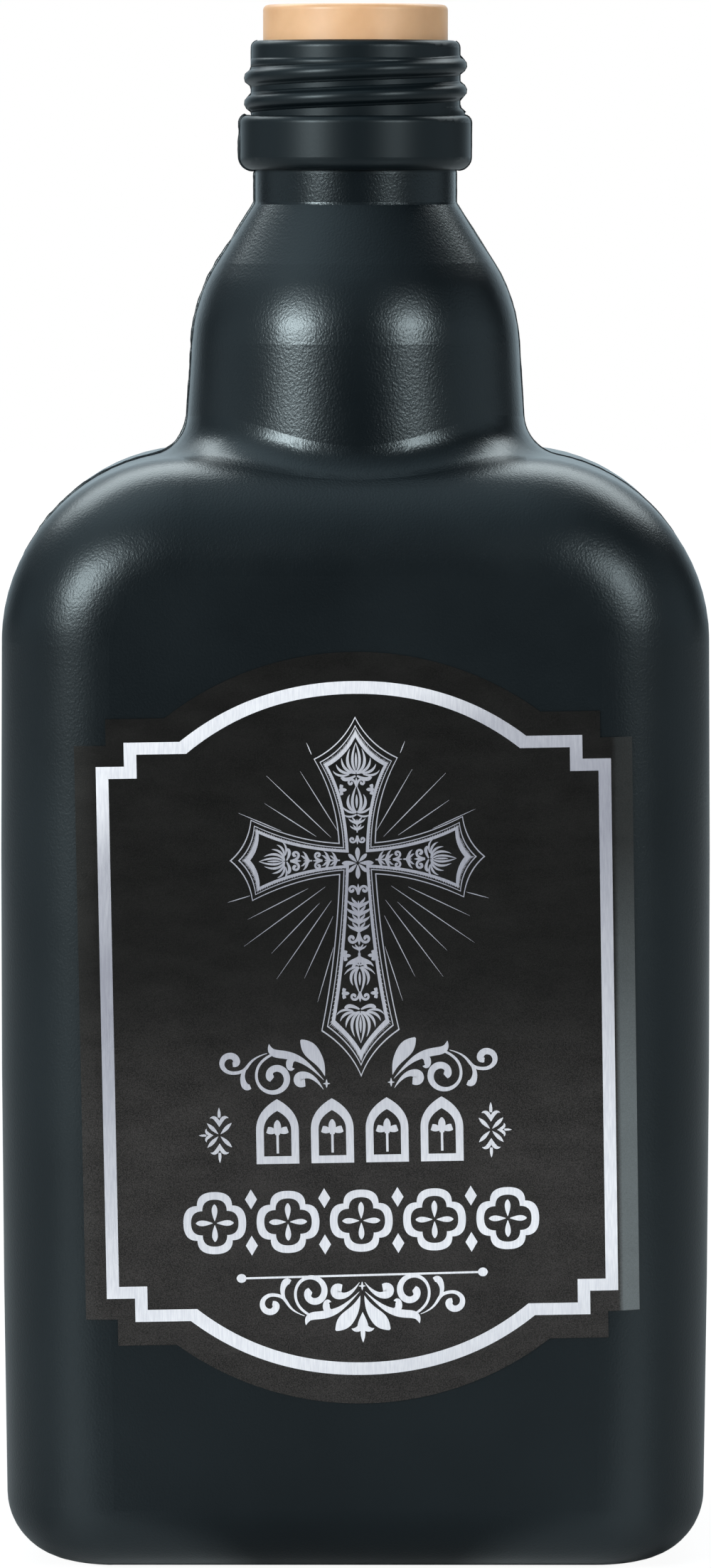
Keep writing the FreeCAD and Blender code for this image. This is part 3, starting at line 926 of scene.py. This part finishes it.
for arm in (LEFT, RIGHT):
    MOTIFS += [(LEAF_PAIR, arm, 2.7, 0.72, 1), (LEAF_PAIR, arm, 3.6, 0.80, 1), (CURLS, arm, 4.9, 0.78, 1),
               (LEAF_PAIR, arm, 6.2, 0.80, 1), (CURLS, arm, 7.7, 0.90, -1), (FAN, arm, 9.1, 0.80, 1)]
for strokes, arm, reach, size, way in MOTIFS:
    raised = FIELD_RAISED if arm in (LEFT, RIGHT) else 0
    mirrored(filigree, strokes, along_arm(arm, reach) + raised, way * arm / 1j * size)
# Sprigs grow from the band into the field at two heights below and one above.
for arm, reach, across in ((UP, 9.1, 2.15), (DOWN, 11.5, 2.0), (DOWN, 16.2, 2.25)):
    for side in (1, -1):
        mirrored(filigree, SPRIG, along_arm(arm, reach, side * across), -side * arm * 0.75)
print_on_label(filigree)


# %% Shading of the band
# Fine lines run from the band's outer edge towards the outline, longest at the
# flares and gone before the crossing.
HATCH_WIDTH = 0.09
HATCH_PER_SIDE = 34


def side_point(shape, index, share):
    """Point on one side of a cross outline, share running from 0 to 1."""
    corners, bends = shape
    start, end = complex(*corners[index]), complex(*corners[(index + 1) % len(corners)])
    if index not in bends:
        return start + (end - start) * share
    pull = complex(*bends[index])
    return start * (1 - share) ** 2 + 2 * pull * share * (1 - share) + end * share ** 2


hatch = new_print("foil_hatching", filled=False)
band_edge, hatch_edge = cross_outline(0.87, 1.26, 1.83), cross_outline(0.76, 0.96, 1.38)
for index in range(len(band_edge[0])):
    for step in range(HATCH_PER_SIDE):
        share = (step + 0.5) / HATCH_PER_SIDE
        root = side_point(band_edge, index, share)
        tip = side_point(hatch_edge, index, share)
        if abs(tip - root) > 0.12:
            reach = root + (tip - root) * (0.8 + 0.5 * noise.noise(Vector((7.3 * index, 3.1 * step, 0.5))))
            stroke(hatch, [(root.real, root.imag, HATCH_WIDTH), (reach.real, reach.imag, 0.02)])
print_on_label(hatch)


# %% [markdown]
# ## Scrolls
#
# A pair of leafy scrolls springs from two little stars under the cross, and the
# same pair upside down makes the ornament at the foot of the label. One scroll
# is a broad petal, a long leaf that ends in a spiral, a hooked lobe, a small
# paisley and a tendril that parts into a curl and a drop.

# %% Scroll strokes
SPIRAL_CENTRE = (6.6, 0.75)
# Turn in degrees, distance from the spiral's centre and width.
SPIRAL = [(86, 2.95, 0.30), (55, 2.75, 0.34), (15, 2.40, 0.32), (-30, 2.12, 0.38), (-75, 1.95, 0.50),
          (-120, 1.90, 0.64), (-165, 1.92, 0.76), (-210, 1.80, 0.84), (-250, 1.50, 0.86), (-290, 1.10, 0.80),
          (-325, 0.66, 0.90), (-352, 0.36, 1.05), (-400, 0.20, 0.70)]
SCROLL = [
    [(0.20, 0.95, 0.04), (0.50, 2.3, 0.85), (1.40, 3.6, 1.90), (2.40, 4.75, 2.00), (3.10, 5.5, 0.20)],
    [(0.35, 0.45, 0.05), (1.00, 1.20, 0.20), (1.95, 2.15, 0.38), (3.05, 3.00, 0.72), (4.3, 3.52, 1.00),
     (5.5, 3.75, 1.00), (6.6, 3.85, 1.00), (7.0, 4.40, 0.66), (7.05, 5.05, 0.04)],
    [(3.5, 3.20, 0.40), (4.40, 3.20, 0.85), (4.70, 2.45, 0.95), (4.45, 1.75, 0.66), (3.95, 1.95, 0.05)],
    [(0.40, -0.73, 0.04), (0.85, 0.00, 0.24), (1.60, 0.80, 0.50), (2.55, 1.20, 0.80), (3.60, 0.95, 1.35),
     (3.35, 0.05, 1.50), (2.65, 0.10, 0.80)],
    [(7.3, 3.90, 0.08), (8.6, 3.55, 0.18), (9.6, 2.65, 0.34), (10.1, 1.75, 0.42), (11.1, 1.48, 0.40),
     (12.2, 1.50, 0.44), (13.1, 2.35, 0.60), (12.75, 3.55, 0.76), (11.6, 3.80, 0.80), (10.98, 3.10, 0.88),
     (11.15, 2.60, 0.92), (11.60, 2.55, 0.55)],
    [(9.7, 2.5, 0.20), (10.45, 1.5, 0.46), (10.45, 0.35, 0.64), (10.00, -0.45, 1.02), (9.45, -0.20, 0.60)],
]
SCROLL.append([(SPIRAL_CENTRE[0] + reach * math.cos(math.radians(degrees)),
                SPIRAL_CENTRE[1] + reach * math.sin(math.radians(degrees)), width)
               for degrees, reach, width in SPIRAL])
STAR = [[(0, -0.55, 0.02), (0, 0, 0.52), (0, 0.55, 0.02)]]


def draw_scroll(curve, place, side, way_up, lean=0.0, squeeze=1.0):
    """One scroll from its star; side -1 mirrors it, way_up -1 hangs it upside down."""
    slope = cmath.rect(1, math.radians(lean))
    for points in SCROLL:
        leaned = [(slope * complex(across * squeeze, up), width) for across, up, width in points]
        stroke(curve, [(side * spot.real, way_up * spot.imag, width) for spot, width in leaned], place, detail=6)


# %% Scroll pairs
STAR_RIGHT, STAR_LEFT, STAR_FOOT = 4.0 - 6.62j, -4.00 - 6.66j, -0.03 - 32.1j
FOOT_DROP = 0.30j
scrolls = new_print("foil_scrolls", filled=False)
for place in (STAR_RIGHT, STAR_LEFT, STAR_FOOT):
    mirrored(scrolls, STAR, place, 1)
    mirrored(scrolls, STAR, place, 0.8j)
draw_scroll(scrolls, STAR_RIGHT, 1, 1)
draw_scroll(scrolls, STAR_LEFT, -1, 1)
for side in (1, -1):
    draw_scroll(scrolls, STAR_FOOT - FOOT_DROP, side, -1, lean=-4.5, squeeze=0.95)
FOOT_TULIP = [
    [(0, -3.3, 0.03), (0, -4.2, 0.90), (0, -5.0, 1.70), (0, -5.6, 1.20)],
    [(0, -5.0, 0.80), (0.8, -5.75, 0.85), (1.40, -5.35, 0.05)],
    [(0, -5.3, 0.45), (0, -6.2, 0.85), (0, -7.1, 0.03)],
]
mirrored(scrolls, FOOT_TULIP, STAR_FOOT, 1)
print_on_label(scrolls)


# %% [markdown]
# ## Florets, rule and ornamental bands
#
# Between the scrolls stand two bands in the manner of church tracery: an arcade
# of four pointed arches between two florets, and under it five quatrefoils with
# lozenges between them. A thin rule with a ball at each end closes them off.

# %% Florets and rule
FLORET_PETAL = [(0, 0.22, 0.03), (0, 1.05, 0.66), (0, 1.55, 0.60), (0, 2.15, 0.03)]
FLORET_TULIP = [
    [(0, 3.45, 0.03), (0, 2.85, 0.56), (0, 2.2, 0.30)],
    [(1.15, 2.15, 0.03), (0.60, 2.50, 0.56), (0.10, 1.85, 0.74), (0, 1.05, 0.05)],
]
florets = new_print("foil_florets", filled=False)
for place, outward in ((-17.4 - 12.9j, -1), (16.3 - 12.8j, 1)):
    for quarter in range(4):
        stroke(florets, FLORET_PETAL, place, cmath.rect(1, math.pi / 4) * 1j ** quarter)
    for turn in (1, -1, -1j * outward):
        size = 1.0 if turn in (1, -1) else 0.74
        mirrored(florets, FLORET_TULIP, place, turn * size)
RULE = ((-15.0, -30.9), (15.0, -30.6))
BALL = [(-0.62, 0, 0.10), (-0.50, 0, 0.90), (0, 0, 1.30), (0.50, 0, 0.90), (0.62, 0, 0.10)]
stroke(florets, [(*RULE[0], 0.26), (*RULE[1], 0.26)])
for end in RULE:
    stroke(florets, BALL, complex(*end))
print_on_label(florets)


# %% Tracery bands
ARCADE = [-10.2, -3.4, 3.4, 10.2]
ARCH_HALF, ARCH_FOOT, ARCH_SPRING, ARCH_TOP = 2.65, -16.6, -12.4, -8.5
ARCH_BAND = 0.95


def lancet(curve, middle, inset):
    """Outline of a pointed arch, drawn in by inset."""
    half, foot = ARCH_HALF - inset, ARCH_FOOT + inset
    top = ARCH_TOP - 1.55 * inset
    corners = [(middle - half, foot), (middle + half, foot), (middle + half, ARCH_SPRING),
               (middle, top), (middle - half, ARCH_SPRING)]
    bends = {2: (middle + half, ARCH_SPRING + 0.62 * (top - ARCH_SPRING)),
             3: (middle - half, ARCH_SPRING + 0.62 * (top - ARCH_SPRING))}
    outline(curve, corners, bends)


def quatrefoil(curve, middle, height, reach, inset):
    """Outline of four round lobes about a middle, drawn in by inset."""
    cusp, lobe = 0.56 * reach - 0.7 * inset, reach - inset
    corners, bends = [], {}
    for quarter in range(4):
        slope = 1j ** quarter
        for across, up in ((cusp, -cusp), (lobe, -0.02)):
            spot = slope * complex(across, up)
            pull = slope * complex(lobe, -cusp if up == -cusp else cusp)
            bends[len(corners)] = (middle + pull.real, height + pull.imag)
            corners.append((middle + spot.real, height + spot.imag))
    outline(curve, corners, bends)


tracery = new_print("foil_tracery", filled=True)
for middle in ARCADE:
    lancet(tracery, middle, 0.0)
    lancet(tracery, middle, ARCH_BAND)
FOILS = [-18.2, -9.1, 0.0, 9.1, 18.2]
FOIL_HEIGHT, FOIL_REACH, FOIL_BAND = -23.9, 3.9, 0.95
for middle in FOILS:
    quatrefoil(tracery, middle, FOIL_HEIGHT, FOIL_REACH, 0.0)
    quatrefoil(tracery, middle, FOIL_HEIGHT, FOIL_REACH, FOIL_BAND)
for left, right in zip(FOILS, FOILS[1:]):
    middle = (left + right) / 2
    for rise in (2.9, -2.9):
        outline(tracery, [(middle - 0.75, FOIL_HEIGHT + rise), (middle, FOIL_HEIGHT + rise - 1.25),
                          (middle + 0.75, FOIL_HEIGHT + rise), (middle, FOIL_HEIGHT + rise + 1.25)])
print_on_label(tracery)

tracery_leaves = new_print("foil_tracery_leaves", filled=False)
for middle in ARCADE:
    mirrored(tracery_leaves, SPRIG, complex(middle, -13.0), 1.5)
    stroke(tracery_leaves, [(middle, -15.3, 0.3), (middle, -12.6, 0.3)])
for middle in FOILS:
    for quarter in range(4):
        stroke(tracery_leaves, ROSETTE_PETAL, complex(middle, FOIL_HEIGHT), 1j ** quarter * 1.2)
print_on_label(tracery_leaves)


# %% [markdown]
# ## Lamps, floor and background
#
# The photograph's own lights can be read from the bell. It carries two upright
# lights, the left one brighter, so two soft boxes stand to the left and right,
# 18 degrees up, each with a dim strip lamp below it. A wide one stands above and
# behind. The dome between them is evenly grey: a pale ceiling. The middle is
# dark: the room in front. Only a narrow rim is white, so the white backdrop
# stands right behind. The floor is paper that the camera sees as nearly white
# with a faint shadow. Reflections see it darker in front and paler to the left
# and right front, where the lamps light it, which gives the low streaks.

# %% Lamps
LAMP_TARGET = Vector((0, 0, 0.15))
LAMP_COLOUR = (0.88, 0.97, 1.0)
# Name, degrees to the right of the front, degrees up, distance, width, height and radiance.
LAMPS = [
    ("softbox_left", -44, 18, 1.2, 0.42, 0.30, 30.0),
    ("softbox_right", 40, 18, 1.2, 0.38, 0.30, 16.5),
    ("strip_left", -47, 0, 1.25, 0.26, 0.34, 0.7),
    ("strip_right", 41, 0, 1.25, 0.26, 0.34, 0.55),
    ("softbox_top", 180, 50, 1.4, 2.4, 0.72, 4.4),
]
for name, azimuth, elevation, distance, width, height, radiance in LAMPS:
    turn, rise = math.radians(azimuth), math.radians(elevation)
    toward = Vector((math.sin(turn) * math.cos(rise), -math.cos(turn) * math.cos(rise), math.sin(rise)))
    lamp = bpy.data.lights.new(name, "AREA")
    lamp.shape = "RECTANGLE"
    lamp.size, lamp.size_y = width, height
    lamp.energy = radiance * math.pi * width * height
    lamp.color = LAMP_COLOUR
    holder = bpy.data.objects.new(name, lamp)
    holder.location = LAMP_TARGET + toward * distance
    holder.rotation_euler = (-toward).to_track_quat("-Z", "Y").to_euler()
    bpy.context.scene.collection.objects.link(holder)
print("two soft boxes over two dim strips, one above and behind")


# %% Floor
FLOOR_HALF = 3.0
FLOOR_SHADOW_SHARE = 0.25
PAPER_SEEN_NEAR, PAPER_SEEN_FAR = 1.25, 1.36
# The paper's colour carries painted light for reflections: a painted falloff from PAPER_BY_BOTTLE near the
# bottle to PAPER_IN_FRONT far in front, and a painted pool of lamp light of LIT_BY_LAMPS towards LIT_TOWARD, to
# the left and right of the front.
PAPER_BY_BOTTLE = 0.38
PAPER_IN_FRONT = 0.06
LIT_TOWARD = math.radians(43)
LIT_BY_LAMPS = 0.55
floor_bm = bmesh.new()
bmesh.ops.create_grid(floor_bm, x_segments=1, y_segments=1, size=FLOOR_HALF)
floor_mesh = bpy.data.meshes.new("floor")
floor_bm.to_mesh(floor_mesh)
floor_bm.free()
floor = bpy.data.objects.new("floor", floor_mesh)
bpy.context.scene.collection.objects.link(floor)


def make_paper(name):
    finish, tree, shader = new_finish(name)
    across, back = axes(tree, "XY")
    place = add_node(tree, "ShaderNodeTexCoord").outputs["Object"]
    reach = add_node(tree, "ShaderNodeVectorMath", {"operation": "LENGTH"}, {0: place}).outputs["Value"]
    # Painted falloff: the paper's colour darkens far in front, where the lamps' light falls off.
    painted_falloff = span(tree, back, PAPER_IN_FRONT, PAPER_BY_BOTTLE, at_low=-1.0, at_high=-0.1)
    # Painted pool of lamp light in the paper's colour, to the left and right front near the bottle.
    angle = calc(tree, "ARCTAN2", calc(tree, "ABSOLUTE", across), calc(tree, "MULTIPLY", back, -1))
    away = calc(tree, "ABSOLUTE", calc(tree, "SUBTRACT", angle, LIT_TOWARD))
    painted_lamp_pool = span(tree, away, LIT_BY_LAMPS, 0, at_low=0.10, at_high=0.30)
    near = span(tree, reach, 1, 0, at_low=0.20, at_high=0.50)
    lit = calc(tree, "MULTIPLY_ADD", painted_lamp_pool, near, painted_falloff)
    feed(tree, shader, {"Base Color": grey_of(tree, lit), "Roughness": 0.9, "Specular IOR Level": 0.0})
    to_camera = add_node(tree, "ShaderNodeLightPath").outputs["Is Camera Ray"]
    white_share = span(tree, to_camera, 0, 1 - FLOOR_SHADOW_SHARE, at_low=0, at_high=1)
    strength = span(tree, reach, PAPER_SEEN_NEAR, PAPER_SEEN_FAR, at_low=0.2, at_high=1.0)
    white = add_node(tree, "ShaderNodeEmission", inputs={"Color": (1, 1, 1, 1), "Strength": strength})
    both = add_node(tree, "ShaderNodeMixShader", inputs={
        0: white_share, 1: shader.outputs["BSDF"], 2: white.outputs["Emission"]})
    feed(tree, tree.nodes["Material Output"], {"Surface": both.outputs["Shader"]})
    return finish


dress(floor, make_paper("studio_paper"))
print("floor laid")


# %% Background
ROOM_FRONT = 0.012
BACKDROP_REFLECTED = 1.0
SIDE_WALLS = 0.55
CEILING_TOWARD = Vector((-0.42, -0.05, 0.90)).normalized()
# Cosine of the angle from the ceiling's middle, and how grey the ceiling is there.
CEILING_STEPS = [(0.30, 0.00), (0.54, 0.14), (0.70, 0.27), (0.90, 0.55), (1.00, 1.00)]
CEILING_TOP = 1.22
ROOM_TINT = (0.72, 0.90, 1.0, 1)
world = bpy.data.worlds.new("studio")
bpy.context.scene.world = world
world.use_nodes = True
sky = world.node_tree
sky_x, sky_y = axes(sky, "XY", kind="Generated")
behind = span(sky, sky_y, ROOM_FRONT, BACKDROP_REFLECTED, at_low=0.72, at_high=0.96)
sky_place = add_node(sky, "ShaderNodeTexCoord").outputs["Generated"]
overhead = add_node(sky, "ShaderNodeVectorMath", {"operation": "DOT_PRODUCT"}, {0: sky_place, 1: CEILING_TOWARD})
ceiling = ramp_of(sky, overhead.outputs["Value"], [(position, (grey,) * 3) for position, grey in CEILING_STEPS])
beside = span(sky, calc(sky, "ABSOLUTE", sky_x), 0, SIDE_WALLS, at_low=0.80, at_high=0.98)
walls = calc(sky, "MAXIMUM", behind, beside)
room = calc(sky, "MAXIMUM", walls, calc(sky, "MULTIPLY", ceiling, CEILING_TOP))
cool = mix_colours(sky, 1.0, room, ROOM_TINT, "MULTIPLY")
to_camera = add_node(sky, "ShaderNodeLightPath").outputs["Is Camera Ray"]
feed(sky, sky.nodes["Background"], {"Color": mix_colours(sky, to_camera, cool, (1, 1, 1, 1)), "Strength": 1.0})
print("white background, pale ceiling to the left, dark room in front")


# %% [markdown]
# ## Close the frame
#

# %% End
print("done")
